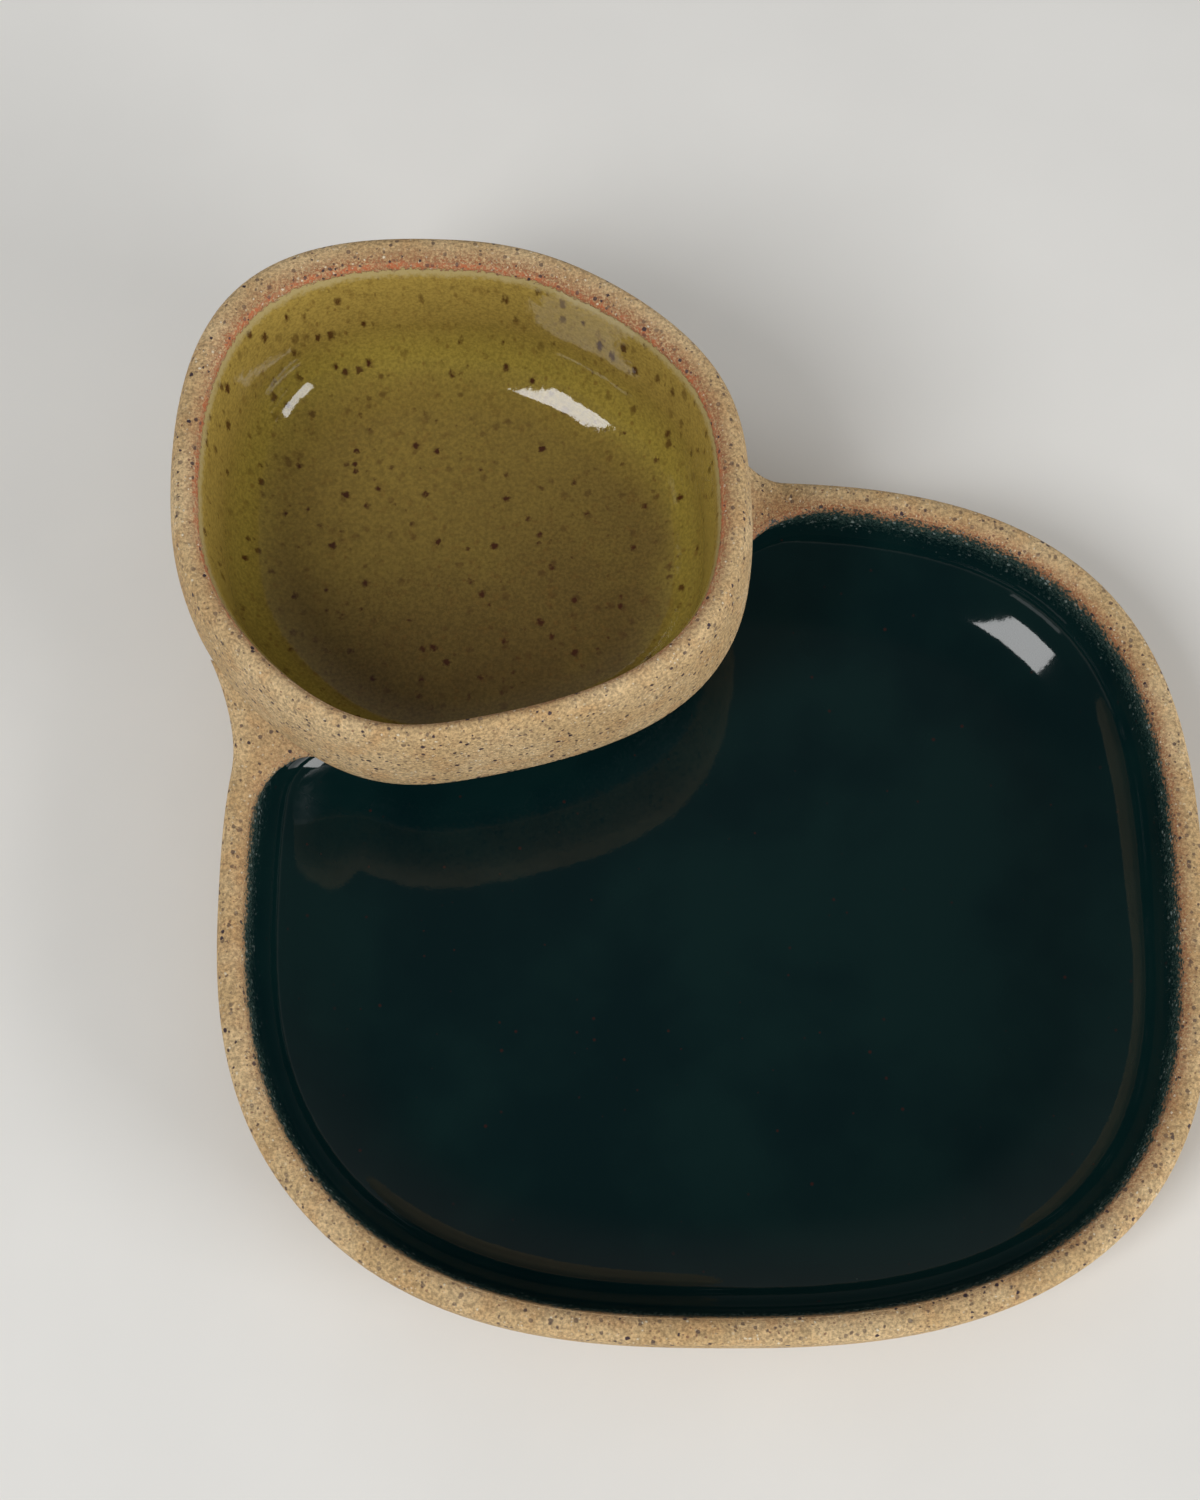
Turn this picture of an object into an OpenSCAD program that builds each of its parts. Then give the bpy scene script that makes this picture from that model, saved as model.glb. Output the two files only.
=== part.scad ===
// Chip and dip bowl in stoneware: a wide shallow bowl hugging a taller, smaller one.
// Millimetres, Z up, origin on the table under the middle of the whole piece.

/* [Chip bowl] */
// Outside width of the chip bowl, left to right
chip_w = 228; // [180:1:290]
// Outside depth of the chip bowl, front to back
chip_d = 205.2; // [160:0.1:270]
// Height of the chip bowl's rim above the table
chip_h = 29.5; // [24:0.5:48]
// Thickness of the chip bowl's rim
chip_rim_t = 6.2; // [4:0.1:9]
// Roundness of the chip bowl's plan at its back right corner (2 is an ellipse, more is squarer)
chip_full_back_right = 2.97; // [2:0.01:3.6]
// Roundness at its back left corner
chip_full_back_left = 2.65; // [2:0.01:3.6]
// Roundness at its front left corner
chip_full_front_left = 2.52; // [2:0.01:3.6]
// Roundness at its front right corner
chip_full_front_right = 2.8; // [2:0.01:3.6]
// Height of the chip bowl's clay floor above the table
chip_floor_z = 6; // [4:0.5:12]
// How far the outside tucks in between rim and foot
chip_tuck = 18; // [8:0.5:30]
// Height of the outside's rounded belly
chip_belly_h = 20; // [12:0.5:22]
// Reach of the inside curve from wall to floor
chip_cove_w = 23; // [12:0.5:32]
// How far the inside wall leans in above that curve
chip_lean = 1.5; // [0:0.1:4]

/* [Dip bowl] */
// Width of the dip bowl's plan, left to right
dip_w = 132.3; // [100:0.1:160]
// Depth of the dip bowl's plan, front to back
dip_d = 125.4; // [95:0.1:150]
// Height of the dip bowl's rim above the table
dip_h = 70; // [56:0.5:90]
// Middle of the dip bowl, to the right of the chip bowl's middle
dip_x = -57.7; // [-75:0.1:-45]
// Middle of the dip bowl, behind the chip bowl's middle
dip_y = 85.2; // [70:0.1:100]
// Turn of the dip bowl's plan, degrees
dip_turn = 4.2; // [-10:0.1:10]
// Roundness of the dip bowl's plan at its back right corner (2 is an ellipse, more is squarer)
dip_full_back_right = 1.79; // [1.5:0.01:3.6]
// Roundness at its back left corner
dip_full_back_left = 2.88; // [1.5:0.01:3.6]
// Roundness at its front left corner
dip_full_front_left = 1.53; // [1.5:0.01:3.6]
// Roundness at its front right corner
dip_full_front_right = 3.25; // [1.5:0.01:3.6]
// How much shallower the plan is toward its right end
dip_taper = 0.12; // [0:0.01:0.2]
// Thickness of the dip bowl's rim
dip_rim_t = 7.1; // [4:0.1:9]
// How far the rounded belly stands out past the plan
dip_belly = 0.8; // [0:0.1:3]
// Height of that belly above the table
dip_belly_z = 46; // [40:0.5:54]
// How far the wall tucks in under the belly
dip_tuck = 24; // [20:0.5:28]
// Height over which it tucks in
dip_tuck_rise = 38; // [32:0.5:42]
// Lean of the wall inside and of the foot outside, degrees
dip_lean = 6; // [2:0.5:10]
// How far the well sits behind the middle of the outside
dip_well_y = -1.8; // [-3:0.1:3]
// Height of the dip bowl's clay floor above the table
dip_floor_z = 29; // [16:0.5:40]
// Thickness of the dip bowl's floor
dip_floor_t = 6.5; // [4:0.5:10]
// Radius of the inside curve from wall to floor
dip_cove_r = 17; // [10:0.5:24]

/* [Walls and foot] */
// Drop from the top of a rim to its edges
rim_drop = 2.4; // [1:0.1:3.5]
// Squareness of the rounded rim (2 is a plain round)
rim_full = 2.4; // [2:0.1:4]
// Width of the foot ring under each bowl
foot_w = 9; // [5:0.5:14]
// Height of the foot rings
foot_h = 2; // [1:0.1:4]
// How far each foot ring is set in under its bowl
foot_in = 1; // [0:0.1:3]

/* [Join] */
// Radius of the blend outside, where the chip bowl meets the dip bowl
join_r = 11; // [6:0.5:14]
// Radius of the glazed corners inside, beside the dip bowl
well_r = 30; // [18:0.5:34]
// How high the chip bowl's rim climbs the dip bowl
climb_r = 12; // [6:0.5:14]
// Share of that climb at the rim's inner edge
edge_climb = 0.2; // [0:0.05:1]
// Thickness of the slip that bonds the two bowls
slip_t = 0.6; // [0.4:0.1:1.2]
// Thickness of the chip bowl's wall where it hugs the dip bowl
hug_t = 3; // [2:0.1:5]
// Reach of the inside curve from that wall to the floor
hug_cove_w = 9; // [4:0.5:14]
// Clearance between separately made faces
fit_gap = 0.15; // [0.05:0.05:0.3]
// Depth of the coils' top below the chip bowl's rim
coil_drop = 4.2; // [3.6:0.1:8]

/* [Glaze] */
// Thickness of both glazes
glaze_t = 0.7; // [0.4:0.1:1.2]
// Distance over which a glaze thickens below its edge
glaze_ease = 1.2; // [0.6:0.1:3]

/* [Hidden] */
clay = [0.80, 0.67, 0.49];
slip_clay = [0.74, 0.60, 0.44];
teal = [0.03, 0.13, 0.14];
olive = [0.36, 0.34, 0.16];
// Sampling of the plans and profiles
chip_n = 60;
hug_n = 22;
join_n = 8;
lead_n = 4;
dip_n = 72;
rim_n = 7;
curve_n = 6;
wall_n = 9;
tuck_n = 5;
coil_n = 6;
newton_n = 8;
probe = 0.01;
// Corner sharpness under the coils, thin ends of the blends, and smaller shape settings
hard_corner = 8;
round_corner = 2;
tip_angle = 14;
coil_tip_angle = 18;
belly_start = 20;
flare_step = 0.6;
floor_share = 0.5;
lead_share = 0.972;
coil_core = 0.8;
under_draft = 0.3;
chip_fulls = [chip_full_back_right, chip_full_back_left, chip_full_front_left, chip_full_front_right];
dip_fulls = [dip_full_back_right, dip_full_back_left, dip_full_front_left, dip_full_front_right];
dip_at = [dip_x, dip_y];
well_at = dip_at + [0, dip_well_y];
dip_tuck_z = dip_belly_z - dip_tuck_rise;
chip_depth = chip_h - rim_drop - chip_floor_z;
dip_depth = dip_h - rim_drop - dip_floor_z;
hug_v = slip_t + hug_t;
belly_gap = 2 * slip_t;
coil_top = chip_h - coil_drop;
hug_mid_share = 0.3;

function ease(w) =
    let (t = min(max(w, 0), 1))
    t * t * (3 - 2 * t);

// Inset of the dip bowl's outside at a height: a leaning foot, a tuck, a rounded belly, then the rim
function dip_inset(z) =
    z >= dip_belly_z
        ? let (w = min((z - dip_belly_z) / (dip_h - dip_belly_z), 1))
            dip_rim_t / 2 - (dip_rim_t / 2 + dip_belly) * pow(1 - pow(w, rim_full), 1 / rim_full)
        : z >= dip_tuck_z
            ? (dip_tuck + dip_belly) * ease((dip_belly_z - z) / dip_tuck_rise) - dip_belly
            : dip_tuck + (dip_tuck_z - z) * tan(dip_lean);

// Height of the tucked wall over a point at that inset
function under_belly(inset) =
    let (w = min(max((inset + dip_belly) / (dip_tuck + dip_belly), 0), 1))
    dip_belly_z - dip_tuck_rise * (0.5 - sin(asin(1 - 2 * w) / 3));

// Rounded plans. A plan point is given by its direction and by half the plan's width and depth.

function blend4(c, s, f) =
    let (u = (1 + c) / 2, v = (1 + s) / 2)
    v * (u * f[0] + (1 - u) * f[1]) + (1 - v) * (u * f[3] + (1 - u) * f[2]);

function reach(a, f) =
    let (c = cos(a), s = sin(a), k = blend4(c, s, f))
    pow(pow(abs(c), k) + pow(abs(s), k), -1 / k);

function plan_point(a, half, f, taper) =
    let (r = reach(a, f), x = r * cos(a))
    [half.x * x, half.y * r * sin(a) * (1 - taper * x)];

function plan_angle(q, half, taper) =
    let (x = q.x / half.x)
    atan2(q.y / (half.y * (1 - taper * x)), x);

// Distance of a point outside a plan, along the line from the plan's middle
function plan_off(q, half, f, taper) =
    let (edge = plan_point(plan_angle(q, half, taper), half, f, taper))
    norm(q) - norm(edge);

function turned(p, a) = [p.x * cos(a) - p.y * sin(a), p.x * sin(a) + p.y * cos(a)];

function chip_half(e) = [chip_w / 2 - e, chip_d / 2 - e];
function dip_half(e) = [dip_w / 2 - e, dip_d / 2 - e];
function dip_local(p) = turned(p - dip_at, -dip_turn);

function chip_point(a, e) = plan_point(a, chip_half(e), chip_fulls, 0);
function chip_off(p, e) = plan_off(p, chip_half(e), chip_fulls, 0);
function dip_off(p, e) = plan_off(dip_local(p), dip_half(e), dip_fulls, dip_taper);

// A point of the dip bowl's plan at inset e, moved out by v
function dip_point(a, e, v) =
    let (q = plan_point(a, dip_half(e), dip_fulls, dip_taper))
    dip_at + turned(q * (1 + v / norm(q)), dip_turn);

// The point u outside the chip plan and v outside the dip plan, found by Newton steps
function settle(p, e, d, u, v, n = newton_n) =
    n == 0 ? p :
    let (
        f = chip_off(p, e) - u,
        g = dip_off(p, d) - v,
        fx = (chip_off(p + [probe, 0], e) - u - f) / probe,
        fy = (chip_off(p + [0, probe], e) - u - f) / probe,
        gx = (dip_off(p + [probe, 0], d) - v - g) / probe,
        gy = (dip_off(p + [0, probe], d) - v - g) / probe,
        det = fx * gy - fy * gx
    )
    settle(p - [f * gy - g * fy, g * fx - f * gx] / det, e, d, u, v, n - 1);

// The chip plan's directions that lie inside the dip plan; the ends are the two joins
function covered(e, d, v) = [for (a = [0 : 359]) if (dip_off(chip_point(a, e), d) < v) a];

// Where the chip plan enters the dip plan: right, then left
function starts(e, d, v) =
    let (inside = covered(e, d, v))
    [chip_point(inside[0], e), chip_point(inside[len(inside) - 1], e)];

// Paths across a join as [u, v] pairs, from the chip plan's line to the dip plan's line
function path_corner(r, m, n) = [
    for (k = [1 : n - 1])
        let (t = 90 * (1 - k / n))
        [-r * (1 - pow(sin(t), 2 / m)), r * (1 - pow(cos(t), 2 / m))]
];

// How deep the dip plan's line reaches into the chip plan
function hug_room(e, d, v) = max([for (a = [0 : 3 : 357]) -chip_off(dip_point(a, d, v), e)]);

// The corner under the coils runs on along the dip plan to beside the glazed corner,
// or less far where the inner line of the foot, which has the least room, is short of it
foot_reach = foot_in + foot_w;
lead_end = min(well_r, lead_share * hug_room(chip_tuck + foot_reach, dip_inset(0), slip_t + foot_reach));
path_hard = concat(
    path_corner(join_r, hard_corner, join_n),
    [for (k = [0 : lead_n - 1]) [-join_r - (lead_end - join_r) * k / lead_n, 0]]
);

function backward(list) = [for (k = [len(list) - 1 : -1 : 0]) list[k]];

// One closed outline of the chip bowl: round the chip plan at inset e between its two ends,
// then back along the dip plan at inset d, v away from it
function joined(e, chip_ends, right_path, d, dip_ends, v, left_path) =
    let (
        a0 = plan_angle(chip_ends[1], chip_half(e), 0),
        a1 = plan_angle(chip_ends[0], chip_half(e), 0) + 360,
        b0 = plan_angle(dip_local(dip_ends[0]), dip_half(d), dip_taper),
        b1 = plan_angle(dip_local(dip_ends[1]), dip_half(d), dip_taper),
        b2 = b1 > b0 ? b1 - 360 : b1
    )
    concat(
        [for (k = [0 : chip_n]) chip_point(a0 + (a1 - a0) * k / chip_n, e)],
        right_path,
        [for (k = [0 : hug_n]) dip_point(b0 + (b2 - b0) * k / hug_n, d, v)],
        backward(left_path)
    );

// That outline with a path across both joins, which leaves the chip plan v_end away from the dip plan
// and reaches the dip plan u_end inside the chip plan
function hug_ring(e, d, v, path, v_end, u_end) =
    let (s = starts(e, d, v))
    joined(
        e,
        [for (p = s) settle(p, e, d, 0, v + v_end)],
        [for (q = path) settle(s[0], e, d, q[0], v + q[1])],
        d,
        [for (p = s) settle(p, e, d, -u_end, v)],
        v,
        [for (q = path) settle(s[1], e, d, q[0], v + q[1])]
    );

function hard_ring(e, d, v) = hug_ring(e, d, v, path_hard, join_r, lead_end);

function round_ring(e, d, v, r = well_r) =
    hug_ring(e, d, v, path_corner(r, round_corner, join_n + lead_n), r, r);

// From the chip plan along a hollow curve to a thin tip on the belly, then beneath it to the hug's end
function flare_path(start, e, end) =
    let (
        half = ceil(join_n / 2),
        n = join_n + lead_n,
        hollow = [
            for (k = [1 : half])
                let (t = 90 - (90 - tip_angle) * k / half)
                settle(start, e, -dip_belly, join_r * (1 - sin(t)), join_r * (1 - cos(t)))
        ],
        tip = hollow[half - 1]
    )
    concat(hollow, [for (k = [1 : n - half - 1]) tip + (end - tip) * k / (n - half)]);

// The outline that flares out at both joins
function flare_ring(e, d, v) =
    let (
        s = starts(e, -dip_belly, 0),
        ends = [for (p = starts(e, d, v)) settle(p, e, d, -well_r, v)]
    )
    joined(
        e,
        [for (p = s) settle(p, e, -dip_belly, 0, join_r)],
        flare_path(s[0], e, ends[0]),
        d,
        ends,
        v,
        flare_path(s[1], e, ends[1])
    );

// The dip plan at inset e, moved by a share of the way to the well's middle
function dip_ring(e, share = 0) = [
    for (k = [0 : dip_n - 1]) dip_point(360 * k / dip_n, e, 0) + (well_at - dip_at) * share
];

// The whole piece's box in plan, whose middle is the origin
rim_points = concat([for (a = [0 : 359]) chip_point(a, 0)], dip_ring(-dip_belly));
xs = [for (p = rim_points) p.x];
ys = [for (p = rim_points) p.y];
middle = [(min(xs) + max(xs)) / 2, (min(ys) + max(ys)) / 2];
hug_mid = -dip_at * hug_mid_share;

function placed(ring, z) = [for (p = ring) [p.x - middle.x, p.y - middle.y, z]];
function placed_at(p, z) = [p.x - middle.x, p.y - middle.y, z];
function drawn_in(ring, to, w) = [for (p = ring) to + (p - to) * w];

// How far the chip bowl's rim climbs the dip bowl, v away from its belly
function climb(v) =
    let (w = 1 - min(max(v, 0), climb_r) / climb_r)
    climb_r * (1 - sqrt(1 - w * w));

// Height of the chip bowl's rim at a point, for a share of the way across it
function rim_z(p, z, share) =
    let (
        off = dip_off(p, 0),
        rise = climb(off - dip_belly) * (1 - (1 - edge_climb) * ease(share))
    )
    min(z + rise, under_belly(-off) - belly_gap);

function climbed(ring, z, share) = [for (p = ring) placed_at(p, rim_z(p, z, share))];

// A closed skin from a bottom pole through rings of equal length to a top pole
module skin(rings, bottom, top) {
    n = len(rings[0]);
    m = len(rings);
    points = concat([bottom], [for (r = rings) each r], [top]);
    last = len(points) - 1;
    faces = concat(
        [for (i = [0 : n - 1]) [0, 1 + i, 1 + (i + 1) % n]],
        [
            for (j = [0 : m - 2], i = [0 : n - 1])
                let (a = 1 + j * n + i, d = 1 + j * n + (i + 1) % n)
                each [[a, a + n, d + n], [a, d + n, d]]
        ],
        [for (i = [0 : n - 1]) [last, 1 + (m - 1) * n + (i + 1) % n, 1 + (m - 1) * n + i]]
    );
    polyhedron(points, faces, convexity = 8);
}

// A thin closed slab between two grids of points, its edges joined all round
module slab(front, back) {
    rows = len(front);
    cols = len(front[0]);
    shift = rows * cols;
    edge = concat(
        [for (i = [0 : cols - 2]) i],
        [for (j = [0 : rows - 2]) j * cols + cols - 1],
        [for (i = [cols - 1 : -1 : 1]) (rows - 1) * cols + i],
        [for (j = [rows - 1 : -1 : 1]) j * cols]
    );
    faces = concat(
        [
            for (j = [0 : rows - 2], i = [0 : cols - 2])
                let (a = j * cols + i, b = a + cols, c = a + shift, d = b + shift)
                each [[a, a + 1, b + 1], [a, b + 1, b], [c, d + 1, c + 1], [c, d, d + 1]]
        ],
        [
            for (k = [0 : len(edge) - 1])
                let (p = edge[k], q = edge[(k + 1) % len(edge)])
                each [[q, p, p + shift], [q, p + shift, q + shift]]
        ]
    );
    polyhedron([for (row = concat(front, back)) each row], faces, convexity = 4);
}

// Stations across a rim, from its outer edge to its inner edge, as [share of width, drop]
rim_path = [
    for (k = [0 : rim_n - 1])
        let (t = 180 * k / (rim_n - 1), c = cos(t))
        [(1 - sign(c) * pow(abs(c), 2 / rim_full)) / 2, rim_drop * (1 - pow(sin(t), 2 / rim_full))]
];

chip_edge_z = chip_h - rim_drop;
hug_d = dip_inset(chip_h);
chip_edge = climbed(round_ring(chip_rim_t, hug_d, hug_v), chip_edge_z, 1);
chip_rises = [for (p = chip_edge) p.z - chip_edge_z];

// Inside of the chip bowl below its rim, raised by g:
// [inset, v, height, share of the rim's climb, corner radius]
function chip_inside(k, g) =
    let (t = 90 * k / curve_n, w = 1 - cos(t), part = 1 - sin(t))
    [
        chip_rim_t + chip_lean + chip_cove_w * w + g * cos(t),
        hug_v + hug_cove_w * w + g * cos(t),
        chip_floor_z + (chip_depth - glaze_ease) * part + g * sin(t),
        part,
        max(well_r - chip_cove_w * w, join_r)
    ];

// Its outline in plan, whose hug follows the dip bowl's wall under the belly
function chip_inside_plan(s) = round_ring(s[0], dip_inset(s[2] + rim_drop * s[3]), s[1], s[4]);

function chip_inside_ring(k, g) =
    let (s = chip_inside(k, g), ring = chip_inside_plan(s))
    [for (i = [0 : len(ring) - 1]) placed_at(ring[i], s[2] + chip_rises[i] * s[3])];

function chip_inside_rings(g) = [for (k = [0 : curve_n]) chip_inside_ring(k, g)];

function chip_floor_ring(g) =
    let (s = chip_inside(curve_n, g))
    placed(drawn_in(chip_inside_plan(s), hug_mid, floor_share), s[2]);

// Inset of the chip bowl's outside at a height
function chip_outside(z) =
    let (
        rise = min(max((z - foot_h) / chip_belly_h, 0), 1),
        t = acos((1 - rise) * cos(belly_start))
    )
    chip_tuck * (1 - sin(t)) / (1 - sin(belly_start));

// Heights of the rings that every wall at the join shares, up the rounded belly to the coils' top
wall_levels = [
    for (k = [0 : wall_n])
        let (t = belly_start + (90 - belly_start) * min(k / (wall_n - 1), 1))
        k < wall_n ? foot_h + chip_belly_h * (1 - cos(t) / cos(belly_start)) : coil_top
];

module chip_bowl() {
    walls = [for (z = wall_levels) placed(hard_ring(chip_outside(z), dip_inset(z), slip_t), z)];
    flare_z = coil_top + flare_step;
    flare = placed(flare_ring(0, dip_inset(flare_z), slip_t), flare_z);
    rim = [
        for (k = [0 : rim_n - 2])
            let (
                s = rim_path[k],
                e = chip_rim_t * s[0],
                v = slip_t + hug_t * s[0],
                w = ease(s[0]),
                ring = flare_ring(e, hug_d, v) * (1 - w) + round_ring(e, hug_d, v) * w
            )
            climbed(ring, chip_h - s[1], s[0])
    ];
    color(clay)
        skin(
            concat(walls, [flare], rim, [chip_edge], chip_inside_rings(0), [chip_floor_ring(0)]),
            placed_at(hug_mid, foot_h),
            placed_at(hug_mid, chip_floor_z)
        );
}

dip_wall_h = dip_depth - dip_cove_r;
dip_wall_in = dip_wall_h * tan(dip_lean);

dip_edge_z = dip_h - rim_drop;
dip_edge = placed(dip_ring(dip_rim_t, 1), dip_edge_z);

// Inside of the dip bowl below its rim, raised by g: [inset, height]
function dip_inside(k, g) =
    let (t = 90 * k / curve_n)
    [
        dip_rim_t + dip_wall_in + dip_cove_r * (1 - cos(t)) + g * cos(t),
        dip_floor_z + dip_cove_r * (1 - sin(t)) + g * sin(t)
    ];

function dip_inside_rings(g) = concat(
    [placed(dip_ring(dip_rim_t + glaze_ease * tan(dip_lean) + g, 1), dip_edge_z - glaze_ease)],
    [
        for (k = [0 : curve_n])
            let (s = dip_inside(k, g))
            placed(dip_ring(s[0], 1), s[1])
    ]
);

module dip_bowl() {
    under_z = dip_floor_z - dip_floor_t;
    base_e = dip_inset(foot_h);
    hollow = [
        placed(dip_ring(base_e + foot_in + foot_w + under_z * under_draft), under_z),
        placed(dip_ring(base_e + foot_in + foot_w), foot_h)
    ];
    tuck = [for (k = [1 : tuck_n]) coil_top + (dip_belly_z - coil_top) * k / tuck_n];
    roll = [
        for (k = [1 : curve_n - 1])
            dip_belly_z + (dip_h - dip_belly_z) * pow(sin(90 * k / curve_n), 2 / rim_full)
    ];
    wall = [for (z = concat(wall_levels, tuck, roll)) placed(dip_ring(dip_inset(z)), z)];
    rim = [
        for (k = [0 : rim_n - 2])
            let (s = rim_path[k])
            if (s[0] >= 0.5) placed(dip_ring(dip_rim_t * s[0], 2 * s[0] - 1), dip_h - s[1])
    ];
    color(clay)
        skin(
            concat(hollow, wall, rim, [dip_edge], dip_inside_rings(0)),
            placed_at(dip_at, under_z),
            placed_at(well_at, dip_floor_z)
        );
}

// A flat ring between two outlines, standing on the table
module foot_ring(outer, inner) {
    n = len(outer);
    paths = [[for (i = [0 : n - 1]) i], [for (i = [0 : n - 1]) n + i]];
    linear_extrude(foot_h) polygon([for (p = concat(outer, inner)) p - middle], paths);
}

module chip_foot() {
    rings = [
        for (w = [foot_in, foot_in + foot_w])
            hard_ring(chip_tuck + w, dip_inset(0), slip_t + w)
    ];
    color(clay) foot_ring(rings[0], rings[1]);
}

module dip_foot() {
    rings = [for (w = [foot_in, foot_in + foot_w]) dip_ring(dip_inset(foot_h) + w)];
    color(clay) foot_ring(rings[0], rings[1]);
}

// Slip between the two walls, from the chip bowl's underside up to the coils' top
module luting_slip() {
    first = chip_n + join_n;
    last = first + 2 * lead_n + hug_n;
    angles = [
        for (z = wall_levels)
            let (d = dip_inset(z), ring = hard_ring(chip_tuck, d, slip_t))
            [for (i = [first : last]) plan_angle(dip_local(ring[i]), dip_half(d), dip_taper)]
    ];
    sides = [
        for (v = [slip_t - fit_gap, fit_gap]) [
            for (k = [0 : wall_n])
                let (d = dip_inset(wall_levels[k]))
                placed([for (a = angles[k]) dip_point(a, d, v)], wall_levels[k])
        ]
    ];
    color(slip_clay) slab(sides[0], sides[1]);
}

// A coil worked into the outside groove at one join, wider toward the belly: 0 is the right one, 1 the left
module join_coil(side) {
    arc = [
        for (k = [0 : coil_n])
            let (t = coil_tip_angle + (90 - 2 * coil_tip_angle) * k / coil_n)
            join_r * [1 - sin(t), 1 - cos(t)]
    ];
    long = arc[0].x;
    coil_high = coil_top - fit_gap;
    rings = [
        for (level = wall_levels)
            let (
                z = min(level, coil_high),
                e = chip_outside(z),
                d = dip_inset(z),
                swell = (d + dip_belly) * ease((z - foot_h) / (coil_high - foot_h)),
                stem = starts(e, d, 0)[side],
                crown = starts(e, d - swell, 0)[side],
                side_step = (long + swell - fit_gap) / coil_n,
                offs = [for (i = [0 : coil_n - 1]) fit_gap + side_step * i],
                dip_side = [for (u = offs) settle(stem, e, d, u, fit_gap)],
                hollow = [for (q = arc) settle(crown, e, d - swell, q.x, q.y)],
                chip_side = [for (v = offs) if (v > fit_gap) settle(stem, e, d, fit_gap, v)],
                section = concat(dip_side, hollow, backward(chip_side))
            )
            placed(side == 1 ? section : backward(section), z)
    ];
    ends = [
        for (z = [foot_h, coil_high])
            let (e = chip_outside(z), d = dip_inset(z))
            placed_at(settle(starts(e, d, 0)[side], e, d, coil_core, coil_core), z)
    ];
    color(clay) skin(rings, ends[0], ends[1]);
}

module left_join_coil() {
    join_coil(1);
}

module right_join_coil() {
    join_coil(0);
}

module chip_glaze() {
    color(teal)
        skin(
            concat(
                [chip_floor_ring(0)],
                [for (k = [curve_n : -1 : 0]) chip_inside_rings(0)[k]],
                [chip_edge],
                chip_inside_rings(glaze_t),
                [chip_floor_ring(glaze_t)]
            ),
            placed_at(hug_mid, chip_floor_z),
            placed_at(hug_mid, chip_floor_z + glaze_t)
        );
}

module dip_glaze() {
    color(olive)
        skin(
            concat(
                [for (k = [curve_n + 1 : -1 : 0]) dip_inside_rings(0)[k]],
                [dip_edge],
                dip_inside_rings(glaze_t)
            ),
            placed_at(well_at, dip_floor_z),
            placed_at(well_at, dip_floor_z + glaze_t)
        );
}

chip_bowl();
chip_foot();
dip_bowl();
dip_foot();
luting_slip();
left_join_coil();
right_join_coil();
chip_glaze();
dip_glaze();
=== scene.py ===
import math

import bmesh
import bpy
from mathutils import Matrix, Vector, noise


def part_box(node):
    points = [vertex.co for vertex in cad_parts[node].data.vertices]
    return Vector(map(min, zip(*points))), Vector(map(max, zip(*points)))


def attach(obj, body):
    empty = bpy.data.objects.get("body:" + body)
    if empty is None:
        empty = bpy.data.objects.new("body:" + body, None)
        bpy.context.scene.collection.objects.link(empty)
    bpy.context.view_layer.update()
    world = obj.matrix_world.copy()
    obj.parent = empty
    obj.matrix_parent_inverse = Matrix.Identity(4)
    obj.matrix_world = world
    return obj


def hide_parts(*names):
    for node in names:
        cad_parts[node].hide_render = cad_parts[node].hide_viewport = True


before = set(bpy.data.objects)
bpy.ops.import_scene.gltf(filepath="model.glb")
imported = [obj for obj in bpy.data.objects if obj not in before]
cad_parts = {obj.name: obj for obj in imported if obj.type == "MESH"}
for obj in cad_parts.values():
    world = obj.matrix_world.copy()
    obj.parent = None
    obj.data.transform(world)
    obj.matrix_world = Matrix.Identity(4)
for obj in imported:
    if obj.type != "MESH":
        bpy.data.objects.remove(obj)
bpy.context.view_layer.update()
print("frame loaded with", len(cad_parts), "nodes")

# Plans of the two bowls, in metres; "full" is the roundness of the back right, back left,
# front left and front right corners
chipPlan = {"width": 0.228, "depth": 0.2052, "full": (2.97, 2.65, 2.52, 2.80), "taper": 0.0, "turn": 0.0}
dipPlan = {"width": 0.1323, "depth": 0.1254, "full": (1.79, 2.88, 1.53, 3.25), "taper": 0.12, "turn": 4.2}
dipShift = Vector((-0.0577, 0.0852))  # dip bowl's middle seen from the chip bowl's middle
chipLow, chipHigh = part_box("chip_bowl")
chipPlan["middle"] = Vector((chipHigh.x - chipPlan["width"] / 2, chipLow.y + chipPlan["depth"] / 2))
dipPlan["middle"] = chipPlan["middle"] + dipShift

rim = {"drop": 0.0024, "square": 2.4, "steps": 18}
join = {
    "radius": 0.011, "outside": (0.011, 0.011), "corners": (0.030, 0.025),  # pairs are right, then left
    "round": 2, "hard": 8, "tipAngle": 5.0,
    "steps": 16, "chipSteps": 156, "hugSteps": 56, "solves": 8, "probe": 1e-5,
}
glazeCoat = {"thick": 0.0007, "overlap": 0.002, "ease": 0.005, "film": 0.00003, "sunk": -0.0002}
handMade = {  # slight unevenness, none at the foot
    "seed": 5, "sway": 0.0004, "size": 13.0, "from": 0.002, "to": 0.014,
}
noise.seed_set(handMade["seed"])  # the noise would start from the clock otherwise
softEdge = {"angle": 40.0, "segments": 3, "profile": 0.5}


def planPoint(plan, angle, inset):
    c, s = math.cos(angle), math.sin(angle)
    u, v = (1 + c) / 2, (1 + s) / 2
    backRight, backLeft, frontLeft, frontRight = plan["full"]
    k = v * (u * backRight + (1 - u) * backLeft) + (1 - v) * (u * frontRight + (1 - u) * frontLeft)
    r = (abs(c) ** k + abs(s) ** k) ** (-1 / k)
    x = r * c
    halfWide, halfDeep = plan["width"] / 2 - inset, plan["depth"] / 2 - inset
    return Vector((halfWide * x, halfDeep * r * s * (1 - plan["taper"] * x)))


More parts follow.
